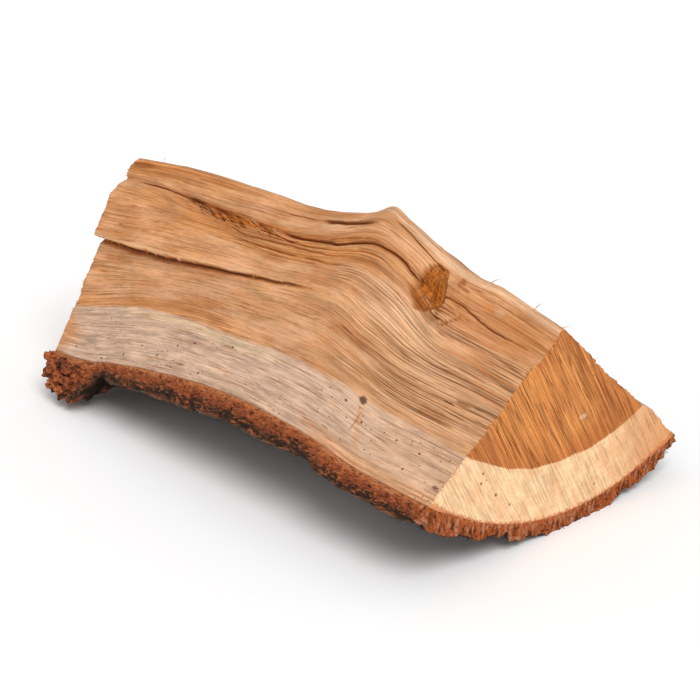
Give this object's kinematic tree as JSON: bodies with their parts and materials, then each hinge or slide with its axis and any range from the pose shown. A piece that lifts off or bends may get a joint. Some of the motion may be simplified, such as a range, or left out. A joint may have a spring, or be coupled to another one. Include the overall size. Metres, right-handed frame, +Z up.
{
  "type": "split log",
  "caption": "Wedge of firewood riven from a round: two torn split faces meeting in a blunt ridge, sawn ends, and a curved back with its bark.",
  "frame": {"origin": "centre of the log's footprint box, on the surface that it lies on", "axes": "+X along the log from its far sawn end to its near sawn end, +Y from the wide split face to the narrow one, +Z up from the bark to the ridge"},
  "size_m": [0.33, 0.2208, 0.1487],
  "materials": {
    "wood": "dry riven wood, matt: warm tan and orange-brown heartwood, pale greyish sapwood, sawn ends with fine saw lines",
    "bark": "dry rough bark, matt: dark brown outside with grey plates, reddish brown where it is broken"
  },
  "bodies": {
    "root": {"wood": "wood", "bark": "bark"}
  },
  "joints": []
}
